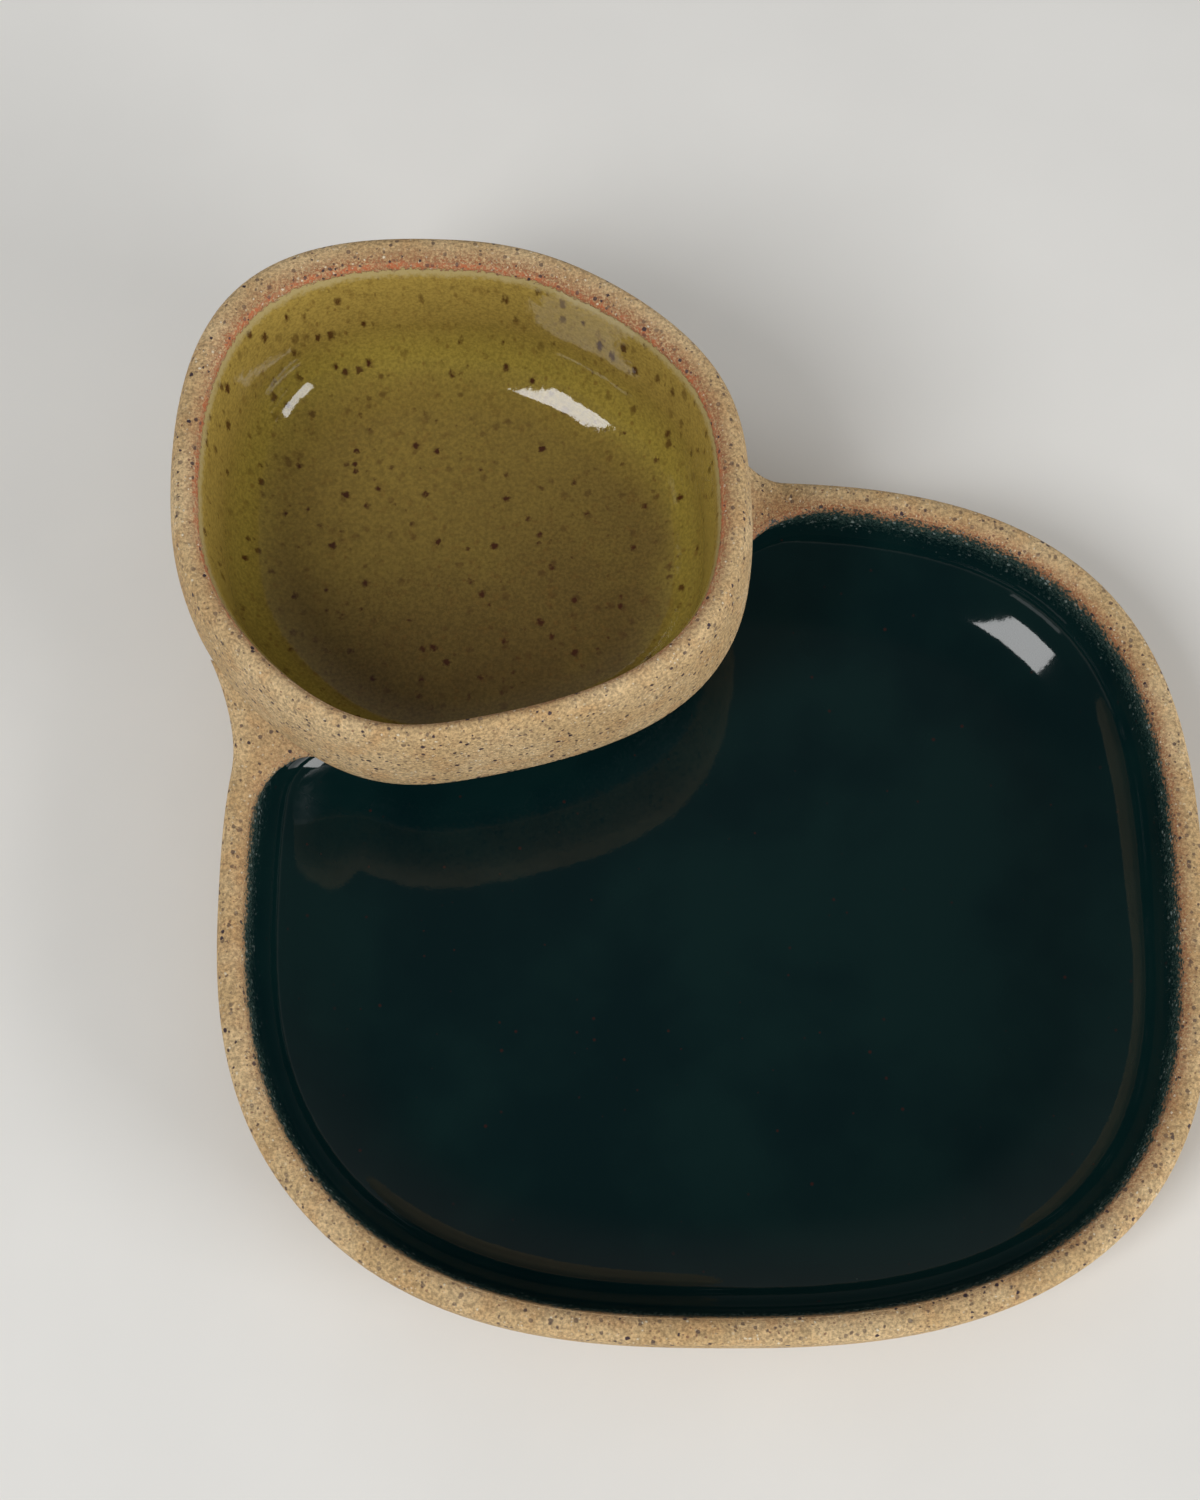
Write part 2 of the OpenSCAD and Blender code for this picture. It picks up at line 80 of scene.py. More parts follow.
def turned(point, degrees):
    c, s = math.cos(math.radians(degrees)), math.sin(math.radians(degrees))
    return Vector((point.x * c - point.y * s, point.x * s + point.y * c))


def toPlan(plan, point):
    return turned(point - plan["middle"], -plan["turn"])


def planAngle(plan, local, inset):
    x = local.x / (plan["width"] / 2 - inset)
    y = local.y / ((plan["depth"] / 2 - inset) * (1 - plan["taper"] * x))
    return math.atan2(y, x)


def planOff(plan, point, inset):  # how far a point lies outside a plan
    local = toPlan(plan, point)
    return local.length - planPoint(plan, planAngle(plan, local, inset), inset).length


def onPlan(plan, angle, inset, out=0.0):
    local = planPoint(plan, angle, inset)
    return plan["middle"] + turned(local * (1 + out / local.length), plan["turn"])


def settle(point, chipIn, dipIn, u, v):  # the point u outside the chip plan and v outside the dip plan
    p = point.copy()
    h = join["probe"]
    for _ in range(join["solves"]):
        f, g = planOff(chipPlan, p, chipIn) - u, planOff(dipPlan, p, dipIn) - v
        beside = (p + Vector((h, 0)), p + Vector((0, h)))
        fx, fy = [(planOff(chipPlan, q, chipIn) - u - f) / h for q in beside]
        gx, gy = [(planOff(dipPlan, q, dipIn) - v - g) / h for q in beside]
        p -= Vector((f * gy - g * fy, g * fx - f * gx)) / (fx * gy - fy * gx)
    return p


def cornerPath(r, full):  # across a join as (u, v) pairs
    ts = [math.pi / 2 * (1 - k / join["steps"]) for k in range(1, join["steps"])]
    return [(-r * (1 - math.sin(t) ** (2 / full)), r * (1 - math.cos(t) ** (2 / full))) for t in ts]


def hollowPoint(t):  # on the hollow curve that eases the chip wall into the dip wall
    return join["radius"] * (1 - math.sin(t)), join["radius"] * (1 - math.cos(t))


def joinStarts(chipIn, dipIn, v):  # where the chip plan enters the dip plan, right then left
    angles = [math.radians(a) for a in range(360)]
    inside = [a for a in angles if planOff(dipPlan, onPlan(chipPlan, a, chipIn), dipIn) < v]
    return onPlan(chipPlan, inside[0], chipIn), onPlan(chipPlan, inside[-1], chipIn)


def joinedRing(chipIn, chipEnds, rightPath, dipIn, dipEnds, v, leftPath):
    a0, a1 = [planAngle(chipPlan, toPlan(chipPlan, p), chipIn) for p in chipEnds]
    b0, b1 = [planAngle(dipPlan, toPlan(dipPlan, p), dipIn) for p in dipEnds]
    a1 += 2 * math.pi
    b1 -= 2 * math.pi if b1 > b0 else 0
    n, m = join["chipSteps"], join["hugSteps"]
    chipSide = [onPlan(chipPlan, a0 + (a1 - a0) * k / n, chipIn) for k in range(n + 1)]
    dipSide = [onPlan(dipPlan, b0 + (b1 - b0) * k / m, dipIn, v) for k in range(m + 1)]
    return chipSide + rightPath + dipSide + leftPath


# Round the chip plan, then back along the dip plan, v away from it
def roundRing(chipIn, dipIn, v, corners, full=join["round"]):
    bends = list(zip(joinStarts(chipIn, dipIn, v), corners))
    chipEnds = [settle(p, chipIn, dipIn, 0, v + r) for p, r in bends[::-1]]
    dipEnds = [settle(p, chipIn, dipIn, -r, v) for p, r in bends]
    rightPath, leftPath = [
        [settle(p, chipIn, dipIn, u, v + w) for u, w in cornerPath(r, full)] for p, r in bends
    ]
    return joinedRing(chipIn, chipEnds, rightPath, dipIn, dipEnds, v, leftPath[::-1])


# Along the hollow curve to a thin tip on the belly, then back beneath it
def flarePart(start, chipIn, dipEnd):
    n, half = join["steps"], join["steps"] // 2
    tipTurn = math.radians(join["tipAngle"])
    turns = [math.pi / 2 - (math.pi / 2 - tipTurn) * k / half for k in range(1, half + 1)]
    part = [settle(start, chipIn, -dip["belly"], *hollowPoint(t)) for t in turns]
    return part + [part[-1].lerp(dipEnd, k / (n - half)) for k in range(1, n - half)]


def flareRing(chipIn, dipIn, v):  # as a round ring, but flaring out at both joins
    right, left = joinStarts(chipIn, -dip["belly"], 0)
    chipEnds = [settle(p, chipIn, -dip["belly"], 0, join["radius"]) for p in (left, right)]
    bends = zip(joinStarts(chipIn, dipIn, v), join["corners"])
    dipEnds = [settle(p, chipIn, dipIn, -r, v) for p, r in bends]
    rightPath = flarePart(right, chipIn, dipEnds[0])
    leftPath = flarePart(left, chipIn, dipEnds[1])[::-1]
    return joinedRing(chipIn, chipEnds, rightPath, dipIn, dipEnds, v, leftPath)


def atHeight(ring, z):
    return [Vector((p.x, p.y, z)) for p in ring]


def drawnIn(ring, to, w):
    return [Vector((to.x + (p.x - to.x) * w, to.y + (p.y - to.y) * w, p.z)) for p in ring]


def smooth(w):
    w = min(max(w, 0.0), 1.0)
    return w * w * (3 - 2 * w)


def swayed(p):  # every piece follows the same slight unevenness, so they stay fitted
    w = smooth((p.z - handMade["from"]) / (handMade["to"] - handMade["from"]))
    return p + noise.noise_vector(p * handMade["size"]) * handMade["sway"] * w


# Shells are drawn ring by ring: a circle is laid on the first outline and extruded to each next one
def layRing(ring, row, reachLayer):
    for vert, point in zip(ring, row["points"]):
        vert.co = swayed(point)
        vert[reachLayer] = row["reach"] * 1000  # in millimetres


def ringEdges(bm, ring):
    return [bm.edges.get((a, b)) for a, b in zip(ring, ring[1:] + ring[:1])]


def pullRing(bm, ring):
    made = bmesh.ops.extrude_edge_only(bm, edges=ringEdges(bm, ring))["geom"]
    fresh = {g for g in made if isinstance(g, bmesh.types.BMVert)}
    return [next(e.other_vert(v) for e in v.link_edges if e.other_vert(v) in fresh) for v in ring]


def listInOrder(bm):  # extruding lists edges and faces in an order that changes from run to run
    bm.verts.index_update()
    n = len(bm.verts)

    def byCorners(part):
        corners = sorted(v.index for v in part.verts)
        return (corners[0] * n + corners[1]) * n + corners[-1]

    bm.edges.sort(key=byCorners)
    bm.faces.sort(key=byCorners)


def drawShell(name, rows, poles=None):
    bm = bmesh.new()
    reachLayer = bm.verts.layers.float.new("glazeReach")  # how far past the glaze line, inward
    count = len(rows[0]["points"])
    first = bmesh.ops.create_circle(bm, cap_ends=False, segments=count, radius=1.0)["verts"]
    layRing(first, rows[0], reachLayer)
    ring = first
    for row in rows[1:]:
        ring = pullRing(bm, ring)
        layRing(ring, row, reachLayer)
    if poles:
        for end, pole in zip((first, ring), poles):
            bmesh.ops.pointmerge(bm, verts=pullRing(bm, end), merge_co=swayed(pole))
    else:  # a ring that closes on itself
        bmesh.ops.bridge_loops(bm, edges=ringEdges(bm, first) + ringEdges(bm, ring))
    listInOrder(bm)
    bmesh.ops.recalc_face_normals(bm, faces=bm.faces)
    for face in bm.faces:
        face.smooth = True
    mesh = bpy.data.meshes.new(name)
    bm.to_mesh(mesh)
    bm.free()
    obj = bpy.data.objects.new(name, mesh)
    bpy.context.scene.collection.objects.link(obj)
    return obj


def softenEdges(obj, width):
    bevel = obj.modifiers.new("soft edges", "BEVEL")
    bevel.limit_method = "ANGLE"
    bevel.angle_limit = math.radians(softEdge["angle"])
    bevel.width = width
    bevel.segments = softEdge["segments"]
    bevel.profile = softEdge["profile"]


def settleIn(obj, node, material):
    obj.data.materials.append(material)
    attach(obj, "root")
    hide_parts(node)
    print(node, "drawn as", obj.name, "with", len(obj.data.polygons), "faces")


# A station is one ring of a bowl's profile: inset e, distance v off the dip wall, height z, share across
# the rim, part of the rim's climb that it keeps, and radii of its corners at the joins
def rimStations(height, thick, start):
    stations = []
    for k in range(start, rim["steps"] + 1):
        t = math.pi * k / rim["steps"]
        c = math.cos(t)
        share = (1 - math.copysign(abs(c) ** (2 / rim["square"]), c)) / 2
        z = height - rim["drop"] * (1 - math.sin(t) ** (2 / rim["square"]))
        s = {"e": thick * share, "v": 0.0, "z": z, "share": share}
        stations.append(s | {"part": 1.0, "corners": join["corners"]})
    return stations


def measureReach(stations, edge):  # distance along the profile from the rim's inner edge
    lengths = [0.0]
    for a, b in zip(stations, stations[1:]):
        lengths.append(lengths[-1] + math.hypot(b["e"] - a["e"], b["z"] - a["z"]))
    for station, length in zip(stations, lengths):
        station["reach"] = length - lengths[edge]


def liftStations(stations, amountAt):  # the same profile moved off the clay, square to it
    moved = []
    for k, s in enumerate(stations):
        before, after = stations[max(k - 1, 0)], stations[min(k + 1, len(stations) - 1)]
        de, dz = after["e"] - before["e"], after["z"] - before["z"]
        amount = amountAt(s["reach"]) / math.hypot(de, dz)
        inward = dz * amount
        moved.append(s | {"e": s["e"] - inward, "v": s["v"] - inward, "z": s["z"] + de * amount})
    return moved


def coatAt(reach):  # thickness of a glaze, a bare film where it starts on the rim
    w = smooth((reach + glazeCoat["overlap"] / 2) / glazeCoat["ease"])
    return glazeCoat["film"] + (glazeCoat["thick"] - glazeCoat["film"]) * w


def sunkAt(reach):  # the glaze's hidden side, just inside the clay
    return glazeCoat["sunk"]


# A closed skin: its hidden side from the floor up, then its shown side down
def glazeRows(stations, rowsOf):
    start = [s for s in stations if s["reach"] > -glazeCoat["overlap"]]
    hidden, shown = [rowsOf(liftStations(start, amount)) for amount in (sunkAt, coatAt)]
    return hidden[::-1] + shown


# The two bowls
chip = {
    "height": 0.0295, "rim": 0.0062, "floor": 0.006, "footHeight": 0.002,
    "tuck": 0.018, "belly": 0.020, "bellyStart": 20.0, "bellySteps": 12, "edgeRound": 0.0012,
    "cove": 0.0245, "coveSteps": 28, "hugWall": 0.003, "slip": 0.0006, "hugCove": 0.009,
    "climb": 0.012, "edgeClimb": 0.2, "press": 0.0003, "coilDrop": 0.0042, "ledge": 0.0006,
    "floorShares": (0.92, 0.82, 0.68, 0.52, 0.36, 0.2, 0.08), "underShares": (0.3, 0.6, 0.9, 1.0),
    "middleShare": 0.3,
}
dip = {
    "height": 0.070, "rim": 0.0071, "wellBack": -0.0018, "lean": 6.0, "floor": 0.029,
    "floorThick": 0.0065, "cove": 0.017, "segments": 168,
    "belly": 0.0008, "bellyHigh": 0.046, "tuck": 0.024, "tuckHigh": 0.008, "tuckRise": 0.038, "roll": 2.4,
    "wallSteps": 18, "rollSteps": 14, "insideSteps": 8, "coveSteps": 22, "footHeight": 0.002, "draft": 0.3,
    "floorShares": (0.9, 0.76, 0.6, 0.44, 0.28, 0.12),
    "ceilingShares": (0.4, 0.75, 1.0), "hollowShares": (0.5, 0),
}
foot = {"wide": 0.009, "inset": 0.001, "bed": 0.0003, "soft": 0.0006}
hugMiddle = chipPlan["middle"] - dipShift * chip["middleShare"]  # on the chip floor, clear of the dip bowl
farOff = -0.04  # reach of clay that lies away from any glaze


def row(points, reach=farOff):
    return {"points": points, "reach": reach}


def dipInset(z):  # a rounded belly below the rim, tucked in under it, then a leaning foot
    if z >= dip["bellyHigh"]:
        w = min((z - dip["bellyHigh"]) / (dip["height"] - dip["bellyHigh"]), 1)
        return dip["rim"] / 2 - (dip["rim"] / 2 + dip["belly"]) * (1 - w ** dip["roll"]) ** (1 / dip["roll"])
    if z >= dip["tuckHigh"]:
        return (dip["tuck"] + dip["belly"]) * smooth((dip["bellyHigh"] - z) / dip["tuckRise"]) - dip["belly"]
    return dip["tuck"] + (dip["tuckHigh"] - z) * math.tan(math.radians(dip["lean"]))


def underBelly(inset):  # height of the tucked wall over a point beneath the belly
    part = min(max((inset + dip["belly"]) / (dip["tuck"] + dip["belly"]), 0), 1)
    return dip["bellyHigh"] - dip["tuckRise"] * (0.5 - math.sin(math.asin(1 - 2 * part) / 3))


def climb(v):  # how far the chip rim climbs the dip bowl, v away from its belly
    w = 1 - min(max(v, 0), chip["climb"]) / chip["climb"]
    return chip["climb"] * (1 - math.sqrt(1 - w * w))


# The chip rim climbs to the belly at both joins, its inner edge less than its crest
def rimHeight(z, p, share):
    off = planOff(dipPlan, p, 0)
    rise = climb(off - dip["belly"]) * (1 - (1 - chip["edgeClimb"]) * smooth(share))
    return min(z + rise, underBelly(-off) + chip["press"])


def chipOutside(z):  # how far the outside is tucked in at a height
    rise = min(max((z - chip["footHeight"]) / chip["belly"], 0), 1)
    start = math.radians(chip["bellyStart"])
    t = math.acos((1 - rise) * math.cos(start))
    return chip["tuck"] * (1 - math.sin(t)) / (1 - math.sin(start))


# Chip bowl: its rim's inner edge, and the line of the wall that hugs the dip bowl
chipEdge = chip["height"] - rim["drop"]
hugInset = dipInset(chip["height"])
hugAway = chip["slip"] + chip["hugWall"]


def chipStations():
    stations = rimStations(chip["height"], chip["rim"], 0)
    for s in stations:
        s["v"] = chip["slip"] + chip["hugWall"] * s["share"]
    deep = stations[-1]["z"] - chip["floor"]
    for k in range(1, chip["coveSteps"] + 1):
        t = math.pi / 2 * k / chip["coveSteps"]
        w, part = 1 - math.cos(t), 1 - math.sin(t)
        e, v = chip["rim"] + chip["cove"] * w, hugAway + chip["hugCove"] * w
        s = {"e": e, "v": v, "z": chip["floor"] + deep * part, "share": 1.0}
        tighter = [max(r - chip["cove"] * w, join["radius"]) for r in join["corners"]]
        stations.append(s | {"part": part, "corners": tighter})
    measureReach(stations, rim["steps"])
    return stations


def chipRow(s):  # one ring of the rim or of the inside, whose wall is taller where the rim has climbed
    under = s["reach"] > 0  # below the rim the hug follows the dip bowl's wall in under the belly
    inset = dipInset(s["z"] + rim["drop"] * s["part"]) if under else hugInset
    ring = roundRing(s["e"], inset, s["v"], s["corners"])
    if s["share"] < 1:
        flare = flareRing(s["e"], hugInset, s["v"])
        ring = [a.lerp(b, smooth(s["share"])) for a, b in zip(flare, ring)]
    if under:
        points = [Vector((p.x, p.y, s["z"] + rise * s["part"])) for p, rise in zip(ring, chipRises)]
        return row(points, s["reach"])
    return row([Vector((p.x, p.y, rimHeight(s["z"], p, s["share"]))) for p in ring], s["reach"])


chipEdgeRing = roundRing(chip["rim"], hugInset, hugAway, join["corners"])
chipRises = [rimHeight(chipEdge, p, 1.0) - chipEdge for p in chipEdgeRing]


def chipInside(stations):
    rows = [chipRow(s) for s in stations]
    last, reach = rows[-1]["points"], rows[-1]["reach"]
    return rows + [row(drawnIn(last, hugMiddle, w), reach) for w in chip["floorShares"]]


def chipPole(z):
    return Vector((hugMiddle.x, hugMiddle.y, z))


def makeChipBowl(stations):
    low, top = chip["footHeight"], chip["height"] - chip["coilDrop"]
    bends, soft = join["outside"], chip["edgeRound"]
    tucked = roundRing(chip["tuck"] + soft, dipInset(low), chip["slip"] + soft, bends)
    under = atHeight(tucked, low)
    rows = [row(drawnIn(under, hugMiddle, w)) for w in chip["underShares"]]
    start = math.radians(chip["bellyStart"])
    for k in range(chip["bellySteps"] + 1):
        t = start + (math.pi / 2 - start) * k / chip["bellySteps"]
        z = low + soft / 2 + (chip["belly"] - soft / 2) * (1 - math.cos(t) / math.cos(start))
        outside = roundRing(chipOutside(z), dipInset(z), chip["slip"], bends, join["hard"])
        rows.append(row(atHeight(outside, z)))
    outside = roundRing(0, dipInset(top), chip["slip"], bends, join["hard"])
    rows.append(row(atHeight(outside, top)))
    ledge = top + chip["ledge"]
    rows.append(row(atHeight(flareRing(0, dipInset(ledge), chip["slip"]), ledge)))
    poles = (chipPole(low), chipPole(chip["floor"]))
    return drawShell("chipBowl", rows + chipInside(stations), poles)


def makeChipGlaze(stations):
    poles = [chipPole(chip["floor"] + lift) for lift in (glazeCoat["sunk"], glazeCoat["thick"])]
    return drawShell("chipGlaze", glazeRows(stations, chipInside), poles)


# Dip bowl
def dipRing(e, share=0.0):  # the well sits a little forward of the outside
    forward, n = Vector((0, dip["wellBack"] * share)), dip["segments"]
    return [onPlan(dipPlan, 2 * math.pi * k / n, e) + forward for k in range(n)]


def dipStations():  # from the belly over the rim and down the inside
    stations = []
    for k in range(dip["rollSteps"]):
        t = math.pi / 2 * k / dip["rollSteps"]
        z = dip["bellyHigh"] + (dip["height"] - dip["bellyHigh"]) * math.sin(t) ** (2 / dip["roll"])
        stations.append({"e": dipInset(z), "z": z, "share": 0.0, "v": 0.0})
    for s in rimStations(dip["height"], dip["rim"], rim["steps"] // 2):
        stations.append(s | {"share": s["share"] * 2 - 1})
    rimEnd = len(stations) - 1
    edge = stations[-1]["z"]
    wall = edge - dip["floor"] - dip["cove"]
    slope = math.tan(math.radians(dip["lean"]))
    for k in range(1, dip["insideSteps"]):
        deep = wall * k / dip["insideSteps"]
        stations.append({"e": dip["rim"] + deep * slope, "z": edge - deep, "share": 1.0, "v": 0.0})
    for k in range(dip["coveSteps"] + 1):
        t = math.pi / 2 * k / dip["coveSteps"]
        e = dip["rim"] + wall * slope + dip["cove"] * (1 - math.cos(t))
        z = dip["floor"] + dip["cove"] * (1 - math.sin(t))
        stations.append({"e": e, "z": z, "share": 1.0, "v": 0.0})
    measureReach(stations, rimEnd)
    return stations


def dipInside(stations):
    rows = [row(atHeight(dipRing(s["e"], s["share"]), s["z"]), s["reach"]) for s in stations]
    last, reach = rows[-1]["points"], rows[-1]["reach"]
    return rows + [row(drawnIn(last, dipPlan["middle"], w), reach) for w in dip["floorShares"]]


def dipPole(z):
    return Vector((dipPlan["middle"].x, dipPlan["middle"].y, z))


def makeDipBowl(stations):
    low, under = dip["footHeight"], dip["floor"] - dip["floorThick"]
    footIn = dipInset(low) + foot["inset"] + foot["wide"]
    ceiling = atHeight(dipRing(footIn + under * dip["draft"]), under)
    rows = [row(drawnIn(ceiling, dipPlan["middle"], w)) for w in dip["ceilingShares"]]
    deep = under - low
    for w in dip["hollowShares"]:
        rows.append(row(atHeight(dipRing(footIn + deep * dip["draft"] * w), low + deep * w)))
    for k in range(dip["wallSteps"]):
        z = low + (dip["bellyHigh"] - low) * k / dip["wallSteps"]
        rows.append(row(atHeight(dipRing(dipInset(z)), z)))
    obj = drawShell("dipBowl", rows + dipInside(stations), (dipPole(under), dipPole(dip["floor"])))
    softenEdges(obj, foot["soft"])
    return obj


def makeDipGlaze(stations):
    poles = [dipPole(dip["floor"] + lift) for lift in (glazeCoat["sunk"], glazeCoat["thick"])]
    return drawShell("dipGlaze", glazeRows(stations, dipInside), poles)


# Foot rings and the coils worked into the outside of the two joins
def makeFootRing(name, outlineAt, top):
    outer, inner = [outlineAt(foot["inset"] + w) for w in (0, foot["wide"])]
    corners = ((outer, 0), (outer, top + foot["bed"]), (inner, top + foot["bed"]), (inner, 0))
    obj = drawShell(name, [row(atHeight(outline, z)) for outline, z in corners])
    softenEdges(obj, foot["soft"])
    return obj


def chipFootOutline(inset):
    return roundRing(chip["tuck"] + inset, dipInset(0), chip["slip"] + inset, join["outside"])


def dipFootOutline(inset):
    return dipRing(dipInset(dip["footHeight"]) + inset)


coil = {"levels": 14, "arcSteps": 14, "recess": 0.00002, "rooted": 0.0004, "overlap": 0.0004}


def makeJoinCoil(name, side):  # fills the groove, wider toward the belly
    tipTurn = math.radians(join["tipAngle"])
    n = coil["arcSteps"]
    turns = [tipTurn + (math.pi / 2 - 2 * tipTurn) * k / n for k in range(n + 1)]
    arc = [(u - coil["recess"], v - coil["recess"]) for u, v in map(hollowPoint, turns)]
    sunk = -coil["rooted"]
    low = chip["footHeight"]
    high = chip["height"] - chip["coilDrop"] + chip["ledge"] + coil["overlap"]
    rows, poles = [], []
    for k in range(coil["levels"] + 1):
        z = low + (high - low) * k / coil["levels"]
        e, d = chipOutside(z), dipInset(z)
        swell = (d + dip["belly"]) * smooth(k / coil["levels"])
        reach = arc[0][0] + swell
        start, wide = joinStarts(e, d, 0)[side], joinStarts(e, d - swell, 0)[side]
        section = [settle(wide, e, d - swell, u, v) for u, v in arc]
        section += [settle(start, e, d, u, v) for u, v in ((sunk, reach), (sunk, sunk), (reach, sunk))]
        rows.append(row(atHeight(section, z)))
        heart = settle(start, e, d, coil["rooted"], coil["rooted"])
        poles.append(Vector((heart.x, heart.y, z)))
    return drawShell(name, rows, (poles[0], poles[-1]))


# Shader helpers: a value is either a number or another node's output
def feed(tree, socket, value):
    if isinstance(value, bpy.types.NodeSocket):
        tree.links.new(value, socket)
    else:
        socket.default_value = value


def calc(tree, operation, a, b=0.0, clamp=False):
    node = tree.nodes.new("ShaderNodeMath")
    node.operation = operation
    node.use_clamp = clamp
    feed(tree, node.inputs[0], a)
    feed(tree, node.inputs[1], b)
    return node.outputs[0]


def times(tree, a, b, clamp=False):
    return calc(tree, "MULTIPLY", a, b, clamp)


def ramp(tree, value, low, high, toLow=0.0, toHigh=1.0):  # eased from one level to another
    node = tree.nodes.new("ShaderNodeMapRange")
    node.interpolation_type = "SMOOTHSTEP"
    for socket, number in zip(node.inputs[:5], (value, low, high, toLow, toHigh)):
        feed(tree, socket, number)
    return node.outputs[0]


def blend(tree, factor, a, b, how="MIX"):
    node = tree.nodes.new("ShaderNodeMix")
    node.data_type = "RGBA"
    node.blend_type = how
    feed(tree, node.inputs["Factor"], factor)
    feed(tree, node.inputs[6], (*a, 1.0) if isinstance(a, tuple) else a)
    feed(tree, node.inputs[7], (*b, 1.0) if isinstance(b, tuple) else b)
    return node.outputs[2]


def mixValue(tree, factor, a, b):
    node = tree.nodes.new("ShaderNodeMix")
    feed(tree, node.inputs["Factor"], factor)
    feed(tree, node.inputs[2], a)
    feed(tree, node.inputs[3], b)
    return node.outputs[0]


def cloud(tree, place, scale, detail, rough):
    node = tree.nodes.new("ShaderNodeTexNoise")
    feed(tree, node.inputs["Vector"], place)
    node.inputs["Scale"].default_value = scale
    node.inputs["Detail"].default_value = detail
    node.inputs["Roughness"].default_value = rough
    return node.outputs["Fac"]


def patches(tree, place, grain, span):  # a noise spread between two levels
    return ramp(tree, cloud(tree, place, *grain), *span)


def swing(tree, place, grain, amount):  # a noise that swings to either side of zero
    return times(tree, calc(tree, "SUBTRACT", cloud(tree, place, *grain), 0.5), amount)


def stretched(tree, place, scale):
    node = tree.nodes.new("ShaderNodeMapping")
    feed(tree, node.inputs["Vector"], place)
    node.inputs["Scale"].default_value = scale
    return node.outputs["Vector"]


def ragged(tree, place, scale, amount):  # a place jittered a little, so that grains aren't perfect rounds
    grain = tree.nodes.new("ShaderNodeTexNoise")
    feed(tree, grain.inputs["Vector"], place)
    grain.inputs["Scale"].default_value = scale
    node = tree.nodes.new("ShaderNodeVectorMath")
    node.operation = "MULTIPLY_ADD"
    tree.links.new(grain.outputs["Color"], node.inputs[0])
    node.inputs[1].default_value = (amount, amount, amount)
    tree.links.new(place, node.inputs[2])
    return node.outputs[0]


def specks(tree, place, spacing, share, small, large, soft, faint):  # grains, sized in parts of their spacing
    cells = tree.nodes.new("ShaderNodeTexVoronoi")
    feed(tree, cells.inputs["Vector"], place)
    cells.inputs["Scale"].default_value = 1 / spacing
    split = tree.nodes.new("ShaderNodeSeparateColor")
    tree.links.new(cells.outputs["Color"], split.inputs[0])
    size = ramp(tree, times(tree, split.outputs[0], split.outputs[0]), 0.0, 1.0, small, large)
    kept = calc(tree, "LESS_THAN", split.outputs[1], share)
    mask = calc(tree, "DIVIDE", calc(tree, "SUBTRACT", size, cells.outputs["Distance"]), soft, clamp=True)
    strength = ramp(tree, split.outputs[2], 0.0, 1.0, faint, 1.0)
    return times(tree, times(tree, mask, kept), strength)


def objectPlace(tree):
    return tree.nodes.new("ShaderNodeTexCoord").outputs["Object"]


def splitPlace(tree, place):
    node = tree.nodes.new("ShaderNodeSeparateXYZ")
    tree.links.new(place, node.inputs[0])
    return node.outputs


def reachOf(tree):
    node = tree.nodes.new("ShaderNodeAttribute")
    node.attribute_name = "glazeReach"
    return node.outputs["Fac"]


# Speckled stoneware, shared by the bare clay and by the glazes where they thin out
# In each look a Noise is its scale, detail and roughness, and a Span or Side is a ramp's two levels
# and, where they aren't 0 and 1, the two values that it gives
clayLook = {
    "sand": (0.52, 0.355, 0.175), "pale": (0.61, 0.44, 0.24), "warm": (0.48, 0.275, 0.115),
    "grain": (0.80, 0.70, 0.52), "iron": (0.045, 0.026, 0.034), "rust": (0.20, 0.10, 0.06),
    "toast": (0.31, 0.135, 0.062), "flash": (0.47, 0.135, 0.05),
    "driftNoise": (45.0, 3.0, 0.55), "driftSpan": (0.38, 0.64),
    "warmNoise": (150.0, 3.0, 0.55), "warmSpan": (0.45, 0.75, 0.0, 0.55),
    "fineNoise": (1300.0, 4.0, 0.65), "fineSpan": (0.30, 0.70, 0.58, 1.30), "gritNoise": (3000.0, 2.0, 0.6),
    "firedNoise": (1900.0, 3.0, 0.7), "firedSpan": (0.38, 0.62, 0.25, 1.25),
    "wanderNoise": (500.0, 4.0, 0.7), "wander": 3.4,
    "toastSpan": (-5.4, -0.2), "toastSide": (-0.15, 0.10, 0.40, 1.25),
    "lineSpan": (-2.1, -1.0), "lineEndSpan": (-0.1, 0.6, 1.0, 0.0), "lineSide": (0.0, 0.05, 0.35, 1.0),
    "brokenNoise": (260.0, 4.0, 0.55), "brokenSpan": (0.36, 0.60, 0.25, 1.0),
    "ragged": (1600.0, 0.0006),  # scale and reach of a grain's uneven outline
    "palest": {"spacing": 0.0009, "share": 0.50, "small": 0.16, "large": 0.40, "soft": 0.12, "faint": 0.3},
    "rusty": {"spacing": 0.0010, "share": 0.65, "small": 0.12, "large": 0.36, "soft": 0.10, "faint": 0.3},
    "dark": {"spacing": 0.0014, "share": 0.90, "small": 0.10, "large": 0.44, "soft": 0.09, "faint": 0.5},
    "palestShow": 0.8, "rustyShow": 0.85,
    "dullSpan": (0.2, 0.8, 0.78, 0.95), "ironDull": 0.5, "shine": 0.3,
    "gritHeight": 0.8, "palestHeight": 0.5, "ironDepth": 0.4, "bump": 0.00026,
}
# How strongly the fire has browned each clay and drawn an orange line on it, beside its glaze
firing = {
    "chip": {"toast": 0.85, "flash": 0.25}, "dip": {"toast": 1.1, "flash": 1.3},
    "underOlive": {"toast": 0.85, "flash": 1.0}, "slip": {"toast": 0.0, "flash": 0.0},
}


